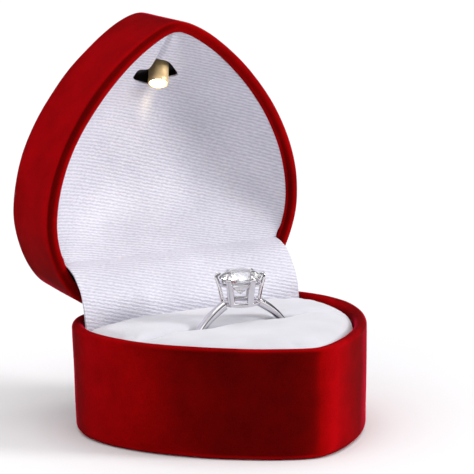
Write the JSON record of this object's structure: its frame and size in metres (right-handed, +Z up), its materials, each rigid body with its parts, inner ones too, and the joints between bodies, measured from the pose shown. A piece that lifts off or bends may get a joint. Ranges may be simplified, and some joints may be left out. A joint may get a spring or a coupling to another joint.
{
  "type": "ring gift box",
  "caption": "Heart-shaped velvet ring box with a hinged, lamp-lit lid standing open over a slotted cushion that holds a solitaire ring.",
  "frame": {"origin": "middle of the underside, at the foot of the box", "axes": "+Z up, -Y towards the heart's tip at the front, +X to the right seen from the front; the hinge lies along X at the back"},
  "size_m": [0.06, 0.0725, 0.0813],
  "materials": {
    "velvet": "deep red short-pile velvet",
    "satin": "white finely ribbed satin",
    "plush": "white suede-like plush",
    "board": "grey-brown card",
    "felt": "dark red flocked card",
    "steel": "bright nickel plating",
    "brass": "pale satin brass",
    "black_plastic": "moulded",
    "lens": "clear lamp, warm white",
    "silver": "polished silver",
    "stone": "clear faceted stone",
    "red_lead": "thin insulation",
    "black_lead": "thin insulation"
  },
  "bodies": {
    "base": {"base_shell": "velvet", "base_pad": "felt", "cushion_board": "board", "cushion_front": "plush", "cushion_back": "plush", "hinge_flap": "satin", "hinge_leaf_base": "steel", "hinge_pin": "steel", "hinge_spring": "steel", "hinge_screw_base_left": "steel", "hinge_screw_base_right": "steel", "ring_shank": "silver", "ring_head": "silver", "ring_stone": "stone"},
    "lid": {"lid_shell": "velvet", "lid_lining": "satin", "hinge_leaf_lid": "steel", "hinge_screw_lid_left": "steel", "hinge_screw_lid_right": "steel", "lamp_sleeve": "brass", "lamp_bulb": "lens", "lamp_bracket": "black_plastic", "cell_holder": "black_plastic", "cell_cover": "black_plastic", "cell": "steel", "switch_body": "black_plastic", "switch_spring": "steel", "switch_cap": "steel", "lead_positive": "red_lead", "lead_negative": "black_lead", "lead_switch": "black_lead"},
    "plunger": {"switch_plunger": "steel"}
  },
  "joints": [
    {"name": "lid_hinge", "type": "hinge", "parent": "base", "child": "lid", "pos_m": [0, 0.0248, 0.024], "axis": [1, 0, 0], "range_deg": [0, 86], "deforming": ["hinge_flap", "hinge_spring"]},
    {"name": "switch_press", "type": "slide", "parent": "lid", "child": "plunger", "axis": [0, 0.9976, 0.0698], "range_m": [0, 0.0019], "deforming": ["switch_spring"]}
  ],
  "couplings": [
    {"joint": "switch_press", "follows": "lid_hinge", "m_per_rad": 0.0012}
  ]
}
